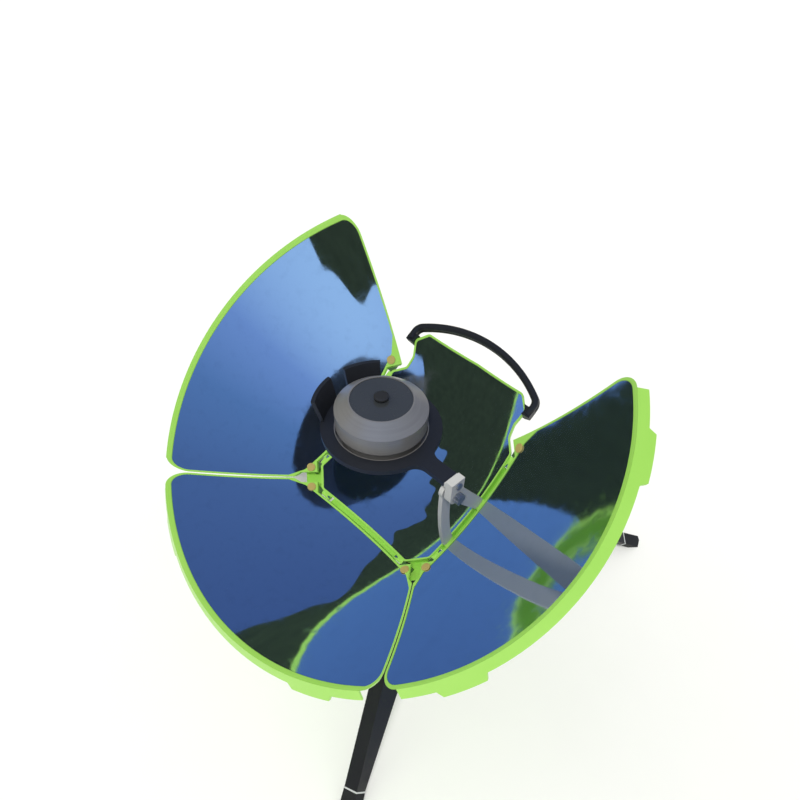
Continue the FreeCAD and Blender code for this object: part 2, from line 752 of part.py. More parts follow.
def handle_screw_places():
    x = hinge_reach - handle_screw_in
    y = hinge_reach + shoulder_past
    return [Vec(side * x, y, 0) for side in (-1.0, 1.0)]


def handle_screw_low():
    """Level of the brackets' rear faces, under the heads of the handle screws."""
    place = handle_screw_places()[1]
    return mirror_height(place.x, place.y) - handle_screw_length


def handle_screw_shanks(clearance):
    back = mirror_thickness + mirror_clearance + tray_wall / 3.0
    return [Part.makeCylinder(handle_screw_radius + clearance, handle_screw_length - back,
                              place + Vec(0, 0, handle_screw_low()), UP)
            for place in handle_screw_places()]


def handle_screws():
    screws = []
    for place, shank in zip(handle_screw_places(), handle_screw_shanks(0.0)):
        head = Part.makeCylinder(handle_screw_head_radius, handle_screw_head_height,
                                 place + Vec(0, 0, handle_screw_low() - handle_screw_head_height), UP)
        screws.append(head.fuse(shank))
    return Part.makeCompound(screws)


def bracket_screw_places():
    x = boss_length / 2.0 - bracket_screw_inset
    y = boss_width / 2.0 - bracket_screw_inset
    return [Vec(sx * x, sy * y, -boss_drop - bracket_plate) for sx in (-1, 1) for sy in (-1, 1)]


def bracket_screw_shanks(clearance):
    return [Part.makeCylinder(bracket_screw_radius + clearance, bracket_screw_length, place, UP)
            for place in bracket_screw_places()]


def bracket_screws():
    screws = []
    for place, shank in zip(bracket_screw_places(), bracket_screw_shanks(0.0)):
        head = Part.makeCylinder(bracket_screw_head_radius, bracket_screw_head_height,
                                 place - Vec(0, 0, bracket_screw_head_height), UP)
        screws.append(head.fuse(shank))
    return Part.makeCompound(screws)


def ear_inner():
    return tilt_lug_width / 2.0 + side_clearance


def tilt_bracket():
    """Black bracket on the back of the panel: a plate and two tapered ears that carry the tilt bolt."""
    plate = Part.makeBox(boss_length, boss_width, bracket_plate,
                         Vec(-boss_length / 2.0, -boss_width / 2.0, -boss_drop - bracket_plate))
    eye = Vec(0, 0, -tilt_axis_drop)
    top = -boss_drop - bracket_plate
    half = boss_width * 0.36
    ears = []
    for start in (ear_inner(), -ear_inner() - bracket_ear_thickness):
        round_end = Part.makeCylinder(bracket_ear_radius, bracket_ear_thickness,
                                      eye + Vec(start, 0, 0), ALONG_X)
        web = closed_face([Vec(start, -half, top), Vec(start, half, top),
                           Vec(start, bracket_ear_radius, eye.z), Vec(start, -bracket_ear_radius, eye.z)])
        ears += [round_end, web.extrude(Vec(bracket_ear_thickness, 0, 0))]
    bracket = plate.fuse(ears)
    bore = Part.makeCylinder(tilt_bolt_radius, 4.0 * tilt_lug_width,
                             eye - Vec(2.0 * tilt_lug_width, 0, 0), ALONG_X)
    bracket = bracket.cut(bore)
    for tool in bracket_screw_shanks(running_clearance):
        bracket = bracket.cut(tool)
    return bracket.removeSplitter()


def tilt_bolt():
    outside = ear_inner() + bracket_ear_thickness
    length = 2.0 * outside + side_clearance + tilt_knob_length - 4.0
    start = Vec(outside, 0, -tilt_axis_drop)
    shank = Part.makeCylinder(tilt_bolt_radius, length, start, ALONG_X * -1.0)
    head = Part.makeCylinder(tilt_bolt_head_radius, tilt_bolt_head_height, start, ALONG_X)
    return head.fuse(shank)


def tilt_knob():
    """Lobed hand knob on the left end of the tilt bolt."""
    start = Vec(-ear_inner() - bracket_ear_thickness - side_clearance, 0, -tilt_axis_drop)
    core = Part.makeCylinder(tilt_knob_radius - tilt_knob_lobe_radius / 2.0, tilt_knob_length, start,
                             ALONG_X * -1.0)
    lobes = []
    for step in range(tilt_knob_lobes):
        lobe = Part.makeCylinder(tilt_knob_lobe_radius, tilt_knob_length,
                                 start + Vec(0, tilt_knob_radius - tilt_knob_lobe_radius, 0), ALONG_X * -1.0)
        lobe.rotate(start, ALONG_X, step * 360.0 / tilt_knob_lobes)
        lobes.append(lobe)
    knob = core.fuse(lobes)
    bore = Part.makeCylinder(tilt_bolt_radius + running_clearance, tilt_knob_length - 3.0, start,
                             ALONG_X * -1.0)
    return knob.cut(bore).removeSplitter()


def hub_top():
    """Level of the hub's top face, under the swivel washer and the head's disc."""
    return tilt_axis_level - head_disc_drop - head_disc_thickness - swivel_washer_thickness - side_clearance


def swivel_head():
    """Disc with a lug for the tilt bolt above and a spigot through the hub below."""
    eye = Vec(0, 0, tilt_axis_level)
    disc_low = tilt_axis_level - head_disc_drop - head_disc_thickness
    disc = Part.makeCylinder(head_disc_radius, head_disc_thickness, Vec(0, 0, disc_low), UP)
    half = tilt_lug_width / 2.0
    round_end = Part.makeCylinder(bracket_ear_radius, tilt_lug_width, eye - Vec(half, 0, 0), ALONG_X)
    web = closed_face([Vec(-half, -bracket_ear_radius, tilt_axis_level),
                       Vec(-half, bracket_ear_radius, tilt_axis_level),
                       Vec(-half, head_disc_radius * 0.7, disc_low + 1.0),
                       Vec(-half, -head_disc_radius * 0.7, disc_low + 1.0)])
    spigot = Part.makeCylinder(spigot_radius, disc_low - hub_top() + hub_height + swivel_nut_height,
                               Vec(0, 0, hub_top() - hub_height - swivel_nut_height), UP)
    head = disc.fuse([round_end, web.extrude(Vec(tilt_lug_width, 0, 0)), spigot])
    bore = Part.makeCylinder(tilt_bolt_radius + running_clearance, 2.0 * tilt_lug_width,
                             eye - Vec(tilt_lug_width, 0, 0), ALONG_X)
    return head.cut(bore).removeSplitter()


def swivel_nut():
    """Six-sided nut that holds the spigot up against the underside of the hub."""
    low = hub_top() - hub_height - side_clearance - swivel_nut_height
    points = []
    for step in range(6):
        angle = math.radians(60.0 * step)
        points.append(Vec(swivel_nut_radius * math.cos(angle), swivel_nut_radius * math.sin(angle), low))
    nut = closed_face(points).extrude(Vec(0, 0, swivel_nut_height))
    return nut.cut(Part.makeCylinder(spigot_radius, swivel_nut_height, Vec(0, 0, low), UP))


def swivel_washer():
    disc = Part.makeCylinder(swivel_washer_radius, swivel_washer_thickness, Vec(0, 0, hub_top()), UP)
    hole = Part.makeCylinder(spigot_radius + side_clearance, swivel_washer_thickness, Vec(0, 0, hub_top()), UP)
    return disc.cut(hole)


def cheek_start():
    return leg_tongue_width / 2.0 + side_clearance


def leg_pivot():
    return Vec(leg_pivot_radius, 0, hub_top() - leg_pivot_drop)


def tripod_hub():
    """Moulded hub with a clevis for each leg and a bore for the swivel spigot."""
    low = hub_top() - hub_height
    body = Part.makeCylinder(hub_radius, hub_height, Vec(0, 0, low), UP)
    pivot = leg_pivot()
    cheeks = []
    for angle in leg_angles:
        for start in (cheek_start(), -cheek_start() - clevis_cheek):
            round_end = Part.makeCylinder(leg_tongue_radius, clevis_cheek, pivot + Vec(0, start, 0), ALONG_Y)
            web = Part.makeBox(leg_pivot_radius, clevis_cheek, 2.0 * leg_tongue_radius,
                               Vec(0, start, pivot.z - leg_tongue_radius))
            for piece in (round_end, web):
                piece.rotate(CENTRE, UP, angle)
                cheeks.append(piece)
    hub = body.fuse(cheeks)
    for angle in leg_angles:
        slot = Part.makeBox(leg_pivot_radius, 2.0 * cheek_start(), hub_height,
                            Vec(leg_pivot_radius - leg_tongue_radius - 2.0, -cheek_start(), low))
        slot.rotate(CENTRE, UP, angle)
        bore = leg_pin_shank()
        bore.rotate(CENTRE, UP, angle)
        hub = hub.cut(slot).cut(bore)
    spigot_bore = Part.makeCylinder(spigot_radius + running_clearance, hub_height, Vec(0, 0, low), UP)
    return hub.cut(spigot_bore).removeSplitter()


def leg_pin_shank():
    length = 2.0 * (cheek_start() + clevis_cheek)
    return Part.makeCylinder(leg_pin_radius, length, leg_pivot() - Vec(0, length / 2.0, 0), ALONG_Y)


def leg_pins():
    pins = []
    for angle in leg_angles:
        half = cheek_start() + clevis_cheek
        head = Part.makeCylinder(leg_pin_head_radius, leg_pin_head_height,
                                 leg_pivot() - Vec(0, half + leg_pin_head_height, 0), ALONG_Y)
        tail = Part.makeCylinder(leg_pin_head_radius, leg_pin_head_height,
                                 leg_pivot() + Vec(0, half, 0), ALONG_Y)
        pin = leg_pin_shank().fuse([head, tail])
        pin.rotate(CENTRE, UP, angle)
        pins.append(pin)
    return Part.makeCompound(pins)


def leg_direction():
    """Unit vector down a leg that points along +X, and the leg's length from pivot to ground."""
    run = Vec(foot_reach, 0, 0) - leg_pivot()
    length = run.Length
    return run.normalize(), length


def leg_section(along, widths, share, grow=0.0):
    """Five-sided ridge section square to a leg, from its left and right widths and a share of the taper."""
    direction, unused_length = leg_direction()
    outward = ALONG_Y
    normal = direction.cross(outward)
    if normal.z < 0:
        normal = normal * -1.0
    left, right = widths
    back = leg_back_depth + (leg_back_depth_foot - leg_back_depth) * share
    shape = [(-left - grow, leg_edge_height), (0.0, leg_ridge_height + grow),
             (right + grow, leg_edge_height - leg_ridge_height * share / 2.0),
             (right - leg_edge_height + grow, -back - grow), (leg_edge_height - left - grow, -back - grow)]
    centre = leg_pivot() + direction * along
    points = [centre + outward * across + normal * height for across, height in shape]
    return Part.makePolygon(points + [points[0]])


def tripod_leg():
    """Ridge-backed leg, widest at its knee, with a tongue that fits the hub's clevis."""
    direction, length = leg_direction()
    pivot = leg_pivot()
    half = leg_tongue_width / 2.0
    tongue_end = leg_body_start + leg_tongue_radius
    round_end = Part.makeCylinder(leg_tongue_radius, leg_tongue_width, pivot - Vec(0, half, 0), ALONG_Y)
    bar = Part.makeBox(tongue_end, leg_tongue_width, 2.0 * leg_tongue_radius,
                       pivot + Vec(0, -half, -leg_tongue_radius))
    bar.rotate(pivot, ALONG_Y, -math.degrees(math.atan2(direction.z, direction.x)))
    body = Part.makeLoft([leg_section(leg_body_start, leg_top_widths, 0.0),
                          leg_section(length * leg_knee, leg_knee_widths, leg_knee),
                          leg_section(length * leg_taper_end, leg_foot_widths, 1.0)], True, True)
    leg = body.fuse([round_end, bar])
    bore = Part.makeCylinder(leg_pin_radius + running_clearance, 2.0 * leg_tongue_width,
                             pivot - Vec(0, leg_tongue_width, 0), ALONG_Y)
    return leg.cut(bore).removeSplitter()


def leg_trim():
    length = leg_direction()[1]
    start = length * leg_taper_end
    return Part.makeLoft([leg_section(start, leg_foot_widths, 1.0, trim_proud),
                          leg_section(start + trim_length, leg_foot_widths, 1.0, trim_proud)], True, True)


def leg_foot():
    """Rubber foot past the trim band, cut flat where it stands on the ground."""
    length = leg_direction()[1]
    start = length * leg_taper_end + trim_length
    sleeve = Part.makeLoft([leg_section(start, leg_foot_widths, 1.0, trim_proud / 2.0),
                            leg_section(length + foot_overlap * 10.0, leg_foot_widths, 1.0, trim_proud * 3.0)],
                           True, True)
    ground = Part.makeBox(4.0 * foot_reach, 4.0 * foot_reach, foot_reach,
                          Vec(-2.0 * foot_reach, -2.0 * foot_reach, -foot_reach))
    tip = Part.makeBox(foot_reach, foot_reach, foot_reach,
                       Vec(foot_reach + foot_overlap * 5.0, -foot_reach / 2.0, -foot_reach / 2.0))
    return sleeve.cut(ground).cut(tip)


def pot_ring():
    """Flat black ring with a tang to the levelling arm and two upright ears on the far side."""
    low = Vec(0, 0, -ring_thickness)
    inner_radius = ring_radius - ring_band
    disc = Part.makeCylinder(ring_radius, ring_thickness, low, UP)
    tang_end = arm_span()[0] - collar_length
    tang = Part.makeBox(tang_end, tang_width, ring_thickness, Vec(0, -tang_width / 2.0, -ring_thickness))
    shapes = [tang] + neck_blends()
    for side in (-1.0, 1.0):
        shapes.append(ring_ear(side))
    ring = disc.fuse(shapes)
    return ring.cut(Part.makeCylinder(inner_radius, ring_thickness, low, UP)).removeSplitter()


def neck_blends():
    """Concave fillets between the ring and the tang."""
    half = tang_width / 2.0
    centre_y = half + tang_neck
    centre_x = math.sqrt((ring_radius + tang_neck) ** 2 - centre_y ** 2)
    fillers = []
    for side in (-1.0, 1.0):
        touch = Vec(centre_x, centre_y, 0) * (ring_radius / (ring_radius + tang_neck))
        corner = closed_face([Vec(touch.x - ring_band, 0, 0), Vec(centre_x, 0, 0), Vec(centre_x, side * half, 0),
                              Vec(centre_x, side * touch.y, 0), Vec(touch.x - ring_band, side * touch.y, 0)])
        filler = corner.extrude(Vec(0, 0, -ring_thickness))
        hollow = Part.makeCylinder(tang_neck, 4.0 * ring_thickness,
                                   Vec(centre_x, side * centre_y, -2.0 * ring_thickness), UP)
        fillers.append(filler.cut(hollow))
    return fillers


def ring_ear(side):
    """One of the two leaning ears that stop a pot from sliding off the far side."""
    foot = ring_radius - ear_wall
    face = closed_face([Vec(foot, 0, -ring_thickness / 2.0), Vec(ring_radius, 0, -ring_thickness / 2.0),
                        Vec(ring_radius + ear_lean, 0, ear_height),
                        Vec(foot + ear_lean, 0, ear_height)])
    start = 180.0 + ear_gap_angle / 2.0 if side > 0 else 180.0 - ear_gap_angle / 2.0 - ear_span_angle
    face.rotate(CENTRE, UP, start)
    return face.revolve(CENTRE, UP, ear_span_angle)


def levelling_arm():
    """Grey arm that holds the tang at its top and swings on the pivot bolt at its foot."""
    inner, outer = arm_span()
    half = arm_width / 2.0
    eye = Vec(inner, 0, -pivot_below_ring)
    foot = Part.makeCylinder(half, arm_thickness, eye, ALONG_X)
    bar = Part.makeBox(arm_thickness, arm_width, pivot_below_ring + ring_thickness / 2.0,
                       Vec(inner, -half, -pivot_below_ring))
    collar = Part.makeBox(collar_length, arm_width, ring_thickness,
                          Vec(inner - collar_length, -half, -ring_thickness))
    arm = foot.fuse([bar, collar])
    bore = Part.makeCylinder(pivot_bolt_radius + running_clearance, arm_thickness, eye, ALONG_X)
    return arm.cut(bore).cut(clamp_shank()).removeSplitter()


def clamp_shank():
    """Clearance-free cylinder of the screw that runs through the arm into the tang."""
    inner, outer = arm_span()
    return Part.makeCylinder(clamp_screw_radius, outer - inner + collar_length,
                             Vec(inner - collar_length, 0, -ring_thickness / 2.0), ALONG_X)


def clamp_screw():
    outer = arm_span()[1]
    head = Part.makeCylinder(clamp_screw_head_radius, clamp_screw_head_height,
                             Vec(outer, 0, -ring_thickness / 2.0), ALONG_X)
    return head.fuse(clamp_shank())


def turned(points):
    """Solid of revolution about the pot's axis from (radius, height) points."""
    face = closed_face([Vec(radius, 0, height) for radius, height in points])
    return face.revolve(CENTRE, UP, 360)


def seat_liner():
    """Polished cup inside the ring, open in the middle, that the pot stands in."""
    outer = ring_radius - ring_band - liner_clearance
    return turned([(outer, 0.0), (outer, -liner_depth), (liner_hole_radius, -liner_depth),
                   (liner_hole_radius, liner_wall - liner_depth),
                   (outer - liner_wall, liner_wall - liner_depth),
                   (outer - liner_wall, 0.0)])


def pot_floor():
    return liner_wall - liner_depth + pot_seat_clearance


def cooking_pot():
    """Straight pot on a narrower base, open at the top."""
    low = pot_floor()
    return turned([(0.0, low), (pot_base_radius, low), (pot_base_radius, pot_step_height - 4.0),
                   (pot_radius, pot_step_height), (pot_radius, pot_rim_height),
                   (pot_radius - pot_wall, pot_rim_height),
                   (pot_radius - pot_wall, pot_step_height + pot_wall / 2.0),
                   (pot_base_radius - pot_wall, pot_step_height - 4.0 + pot_wall / 2.0),
                   (pot_base_radius - pot_wall, low + pot_wall), (0.0, low + pot_wall)])


def pot_lid():
    """Sloped lid with a sunk centre and a skirt that drops into the pot."""
    seat = pot_rim_height + lid_clearance
    top = seat + lid_height
    plug = pot_radius - pot_wall - lid_clearance
    recess = top - lid_recess
    return turned([(0.0, recess - lid_wall), (lid_disc_radius - lid_wall, recess - lid_wall),
                   (plug - lid_wall, seat), (plug - lid_wall, seat - lid_skirt_depth),
                   (plug, seat - lid_skirt_depth),
                   (plug, seat), (pot_radius, seat), (lid_disc_radius + lid_wall, top), (lid_disc_radius, top),
                   (lid_disc_radius, recess), (0.0, recess)])


def lid_disc():
    """Dark inset that fills the lid's sunk centre."""
    low = pot_rim_height + lid_clearance + lid_height - lid_recess
    disc = Part.makeCylinder(lid_disc_radius - liner_clearance, lid_recess / 2.0, Vec(0, 0, low), UP)
    return disc.cut(Part.makeCylinder(knob_stem_radius + running_clearance, lid_recess, Vec(0, 0, low), UP))


def lid_knob():
    low = pot_rim_height + lid_clearance + lid_height - lid_recess
    return turned([(0.0, low), (knob_stem_radius, low), (knob_stem_radius, low + knob_height * 0.45),
                   (knob_radius, low + knob_height * 0.6), (knob_radius, low + knob_height * 0.85),
                   (knob_radius * 0.75, low + knob_height), (0.0, low + knob_height)])


def set_dish(shape):
    """Lean a piece of the dish on the tilt bolt and lift it onto the tripod."""
    placed = shape.copy()
    placed.translate(Vec(0, 0, tilt_axis_drop))
    placed.rotate(CENTRE, ALONG_X, dish_tilt)
    placed.translate(Vec(0, 0, tilt_axis_level))
    return placed


def dish_point(point):
    return set_dish(Part.Vertex(point)).Point


def ring_centre():
    return dish_point(Vec(0, ring_uphill, ring_height))


def set_ring(shape):
    """Put a piece that was drawn about the level ring's centre in its place."""
    placed = shape.copy()
    placed.translate(ring_centre())
    return placed


def dish_nodes():
    nodes = {"panel_frame": panel_frame(), "panel_mirror": panel_mirror(), "carry_handle": carry_handle(),
             "handle_screws": handle_screws(), "tilt_bracket": tilt_bracket(),
             "bracket_screws": bracket_screws(), "tilt_bolt": tilt_bolt(), "tilt_knob": tilt_knob(),
             "pot_fork": pot_fork(),
             "pivot_bolt": pivot_bolt(), "pivot_washer": pivot_washer(), "thumb_nut": thumb_nut()}
    pieces = {"mirror": petal_mirror(), "hinge_blocks": Part.makeCompound(both_sides(petal_hinge_block())),
              "rivets": Part.makeCompound(both_sides(petal_rivet()))}
    pins = []
    for name, angle in petal_angles.items():
        pieces["frame"] = petal_frame(petal_setbacks[name])
        for piece, shape in pieces.items():
            turned_shape = shape.copy()
            turned_shape.rotate(CENTRE, UP, angle)
            nodes["petal_%s_%s" % (name, piece)] = turned_shape
        for pin in both_sides(hinge_pin()):
            pin.rotate(CENTRE, UP, angle)
            pins.append(pin)
    nodes["hinge_pins"] = Part.makeCompound(pins)
    return {name: set_dish(shape) for name, shape in nodes.items()}


def ring_nodes():
    nodes = {"pot_ring": pot_ring(), "seat_liner": seat_liner(), "levelling_arm": levelling_arm(),
             "clamp_screw": clamp_screw(), "cooking_pot": cooking_pot(), "pot_lid": pot_lid(),
             "lid_disc": lid_disc(), "lid_knob": lid_knob()}
    return {name: set_ring(shape) for name, shape in nodes.items()}


def tripod_nodes():
    nodes = {"swivel_head": swivel_head(), "swivel_nut": swivel_nut(), "swivel_washer": swivel_washer(),
             "tripod_hub": tripod_hub(), "leg_pins": leg_pins()}
    pieces = {"leg": tripod_leg(), "trim": leg_trim(), "foot": leg_foot()}
    for number, angle in enumerate(leg_angles, start=1):
        for piece, shape in pieces.items():
            placed = shape.copy()
            placed.rotate(CENTRE, UP, angle)
            nodes["leg_%d_%s" % (number, piece)] = placed
    return nodes


def all_nodes():
    nodes = dish_nodes()
    nodes.update(ring_nodes())
    nodes.update(tripod_nodes())
    return nodes


def origin_shift(nodes):
    """Move that puts the bottom centre of the whole box at the origin."""
    box = Part.makeCompound(list(nodes.values())).optimalBoundingBox(True, False)
    return Vec(-(box.XMin + box.XMax) / 2.0, -(box.YMin + box.YMax) / 2.0, -box.ZMin)


def main():
    os.makedirs("parts", exist_ok=True)
    nodes = all_nodes()
    shift = origin_shift(nodes)
    for name, shape in nodes.items():
        shape.translate(shift)
        shape.exportStep("parts/%s.step" % name)
    print("nodes", len(nodes), "shift", shift)


if __name__ == "__main__":
    main()
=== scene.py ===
import bpy
import json
import math
from mathutils import Matrix, Vector

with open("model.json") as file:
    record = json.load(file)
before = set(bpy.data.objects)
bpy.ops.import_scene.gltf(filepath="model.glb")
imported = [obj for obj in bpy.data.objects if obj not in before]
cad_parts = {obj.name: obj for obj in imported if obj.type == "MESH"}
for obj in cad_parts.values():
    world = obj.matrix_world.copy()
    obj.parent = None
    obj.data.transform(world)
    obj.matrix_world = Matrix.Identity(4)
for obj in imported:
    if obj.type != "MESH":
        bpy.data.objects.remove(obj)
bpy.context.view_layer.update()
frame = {"nodes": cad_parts, "record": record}

# The dish, in metres and radians
FOCAL_LENGTH = 0.145
DISH_TILT = math.radians(34)
TILT_AXIS_DROP = 0.070          # from the mirror's vertex to the tilt bolt, along the dish's axis

# Shading of the CAD meshes
SHARP_EDGE = math.radians(28)
CUT_EDGE_LEAN = 0.35            # a sheet's face with less of its normal along the axis is a cut edge

# Moulded and coated surfaces: noise scales per metre, depths in metres
GRAIN_SCALE = 900.0
GRAIN_DEPTH = 0.0004
PATCH_SCALE = 9.0
SCUFF_SCALE = 60.0
SCUFF_FROM, SCUFF_TO = 0.52, 0.72
SCUFF_ROUGHNESS = 0.14

# Brushed and turned metal
LINE_SCALE = 700.0
LINE_DEPTH = 0.0003
LINE_STRETCH = (0.02, 0.02, 1.0)
SMUDGE_SCALE = 30.0
SMUDGE_ROUGHNESS = 0.12

# The mirror sheets, their silver tinted blue: a painted reflection of the sky
SKY_TINTED_SILVER, WIPED_SKY_TINTED_SILVER = (0.80, 0.87, 0.94), (0.76, 0.83, 0.90)
SILVER_ROUGHNESS, WIPED_ROUGHNESS = 0.035, 0.075
RIPPLE_SCALE = 14.0
RIPPLE_STRENGTH = 0.05
RIPPLE_DEPTH = 0.002

# The camera, in metres from the mirror's vertex, with its lens and sensor in millimetres
CAMERA_FROM_VERTEX = Vector((0.4886, -0.5491, 0.8405))
CAMERA_FORWARD = Vector((-0.4462, 0.4143, -0.7932))
CAMERA_RIGHT = Vector((0.6823, 0.7311, -0.0019))
CAMERA_LENS = 28.36
CAMERA_SENSOR = 36
CAMERA_SHIFT = (0.0236, 0.1334)

# The floor and the lamps
FLOOR_REACH = 12.0
FLOOR_GLOW = 0.08
SUNLIGHT = (1.0, 0.98, 0.94)

# The sky, from its dark side to its bright side
BRIGHT_SIDE = Vector((0.49, -0.853, 0.17))
DARK_SKY = (0.040, 0.080, 0.23)
SKY_BETWEEN = {0.5: (0.065, 0.13, 0.32), 0.75: (0.09, 0.19, 0.43), 0.9: (0.16, 0.285, 0.61)}
BRIGHT_SKY = (0.32, 0.52, 0.84)
NEUTRAL_FILL = (0.56, 0.56, 0.56)

# The painted treeline reflection, a dark sheet that only the mirrors see: metres, bearings in degrees
# clockwise from +Y, and rises in degrees
TREELINE_REACH = 3.2
TREELINE_FOOT = -0.02
TREELINE_LEVEL = 0.45               # the height that the rises are measured from
TREELINE_FROM, TREELINE_TO = -212, -25
TREELINE_STEPS = 240
TREELINE_RISE = 11
LEFT_RISE = 34                  # added towards -X
PEAK_AT, PEAK_SPREAD, PEAK_RISE = -162, 11, 33
WAVE_RISE = 3
EDGE_WAVES = ((1.0, 8, 0.6), (0.6, 19, 0.0), (0.25, 37, 1.3))      # share, count in a turn, phase


def joint_place(name):
    joint = next(j for j in frame["record"]["behaviour"]["joints"] if j["name"] == name)
    return Vector(joint["pos_m"])


dish_place = (Matrix.Translation(joint_place("dish_tilt")) @ Matrix.Rotation(DISH_TILT, 4, "X")
              @ Matrix.Translation((0, 0, TILT_AXIS_DROP)))


# Shader nodes

def feed(tree, target, value):
    """Link another node's output to an input, or set the input to a plain value."""
    if isinstance(value, bpy.types.NodeSocket):
        tree.links.new(value, target)
    else:
        target.default_value = value


def add_node(tree, kind, inputs, **settings):
    """New node with its settings, and its inputs linked or set."""
    node = tree.nodes.new(kind)
    for name, value in settings.items():
        setattr(node, name, value)
    for label, value in inputs.items():
        feed(tree, node.inputs[label], value)
    return node


def find_node(tree, kind):
    return next(node for node in tree.nodes if node.type == kind)


def noise(tree, place, scale, detail):
    return add_node(tree, "ShaderNodeTexNoise",
                    {"Vector": place, "Scale": scale, "Detail": detail}).outputs["Fac"]


def blend_colours(tree, factor, low, high):
    """Colour between two tones, by a mask."""
    return add_node(tree, "ShaderNodeMix", {"Factor": factor, "A": (*low, 1), "B": (*high, 1)},
                    data_type="RGBA").outputs["Result"]


def spread_value(tree, factor, low, high):
    """Value between two limits, by a mask."""
    return add_node(tree, "ShaderNodeMapRange",
                    {"Value": factor, "To Min": low, "To Max": high}).outputs["Result"]


def bump_from(tree, height, strength, depth):
    return add_node(tree, "ShaderNodeBump",
                    {"Height": height, "Strength": strength, "Distance": depth}).outputs["Normal"]


def seen_directly(tree):
    """One for a ray from the camera, a mirror or glass, and zero for light that falls on a surface."""
    path = add_node(tree, "ShaderNodeLightPath", {})
    total = path.outputs["Is Camera Ray"]
    for label in ("Is Glossy Ray", "Is Transmission Ray"):
        total = add_node(tree, "ShaderNodeMath", {0: total, 1: path.outputs[label]},
                         operation="ADD", use_clamp=True).outputs["Value"]
    return total


# Surface effects that several finishes share

def new_group(name, inputs, outputs):
    """Empty shader node group with named float inputs and outputs."""
    group = bpy.data.node_groups.new(name, "ShaderNodeTree")
    for direction, labels in (("INPUT", inputs), ("OUTPUT", outputs)):
        for label in labels:
            group.interface.new_socket(label, in_out=direction, socket_type="NodeSocketFloat")
    return group


def mould_group():
    """Fine grain, broad patches and scuffs of a moulded or coated surface."""
    group = new_group("mould_surface", ("Grain Scale", "Patch Scale"), ("Grain", "Patch", "Scuff"))
    given = add_node(group, "NodeGroupInput", {}).outputs
    place = add_node(group, "ShaderNodeTexCoord", {}).outputs["Object"]
    marks = noise(group, place, SCUFF_SCALE, detail=6.0)
    scuff = add_node(group, "ShaderNodeMapRange",
                     {"Value": marks, "From Min": SCUFF_FROM, "From Max": SCUFF_TO})
    add_node(group, "NodeGroupOutput", {
        "Grain": noise(group, place, given["Grain Scale"], detail=2.0),
        "Patch": noise(group, place, given["Patch Scale"], detail=4.0),
        "Scuff": scuff.outputs["Result"],
    })
    return group


def brushed_group():
    """Fine level lines of turned or brushed metal, and smudges."""
    group = new_group("brushed_lines", ("Line Scale",), ("Lines", "Smudge"))
    given = add_node(group, "NodeGroupInput", {}).outputs
    place = add_node(group, "ShaderNodeTexCoord", {}).outputs["Object"]
    stretch = add_node(group, "ShaderNodeMapping", {"Vector": place, "Scale": LINE_STRETCH})
    add_node(group, "NodeGroupOutput", {
        "Lines": noise(group, stretch.outputs["Vector"], given["Line Scale"], detail=2.0),
        "Smudge": noise(group, place, SMUDGE_SCALE, detail=4.0),
    })
    return group


MOULD = mould_group()
BRUSHED = brushed_group()


# Finishes

def new_material(name, effect, values):
    """Material with one effect placed in it, its shader and the effect's outputs."""
    material = bpy.data.materials.new(name)
    material.use_nodes = True
    tree = material.node_tree
    surface = add_node(tree, "ShaderNodeGroup", values, node_tree=effect)
    return material, tree, find_node(tree, "BSDF_PRINCIPLED").inputs, surface.outputs


def moulded(name, colour, patch_colour, roughness, grain_scale=GRAIN_SCALE, bump=0.12, coat=0.0):
    """Moulded plastic, rubber or paint: two close tones in broad patches, grain and a few scuffs."""
    material, tree, shader, surface = new_material(
        name, MOULD, {"Grain Scale": grain_scale, "Patch Scale": PATCH_SCALE})
    rough = spread_value(tree, surface["Scuff"], roughness, roughness + SCUFF_ROUGHNESS)
    feed(tree, shader["Base Color"], blend_colours(tree, surface["Patch"], colour, patch_colour))
    feed(tree, shader["Roughness"], rough)
    feed(tree, shader["Normal"], bump_from(tree, surface["Grain"], bump, GRAIN_DEPTH))
    feed(tree, shader["Coat Weight"], coat)
    return material


def metal(name, colour, line_colour, roughness, line_scale=LINE_SCALE, bump=0.05, metallic=1.0):
    """Plated, brushed or turned metal with faint lines and smudges."""
    material, tree, shader, surface = new_material(name, BRUSHED, {"Line Scale": line_scale})
    rough = spread_value(tree, surface["Smudge"], roughness, roughness + SMUDGE_ROUGHNESS)
    feed(tree, shader["Base Color"], blend_colours(tree, surface["Lines"], colour, line_colour))
    feed(tree, shader["Roughness"], rough)
    feed(tree, shader["Normal"], bump_from(tree, surface["Lines"], bump, LINE_DEPTH))
    feed(tree, shader["Metallic"], metallic)
    return material


def silvered_sheet():
    """Mirror: almost clear reflection, with a slow ripple and a few wiped smears, its silver tinted
    blue as a painted reflection of the sky.
    """
    material, tree, shader, surface = new_material(
        "silvered_sheet", MOULD, {"Grain Scale": RIPPLE_SCALE})
    rough = spread_value(tree, surface["Scuff"], SILVER_ROUGHNESS, WIPED_ROUGHNESS)
    # Silver tinted blue as a painted reflection of the sky; the wiped smears are real
    feed(tree, shader["Base Color"], blend_colours(tree, surface["Scuff"], SKY_TINTED_SILVER, WIPED_SKY_TINTED_SILVER))
    feed(tree, shader["Roughness"], rough)
    feed(tree, shader["Normal"], bump_from(tree, surface["Grain"], RIPPLE_STRENGTH, RIPPLE_DEPTH))
    feed(tree, shader["Metallic"], 1.0)
    return material


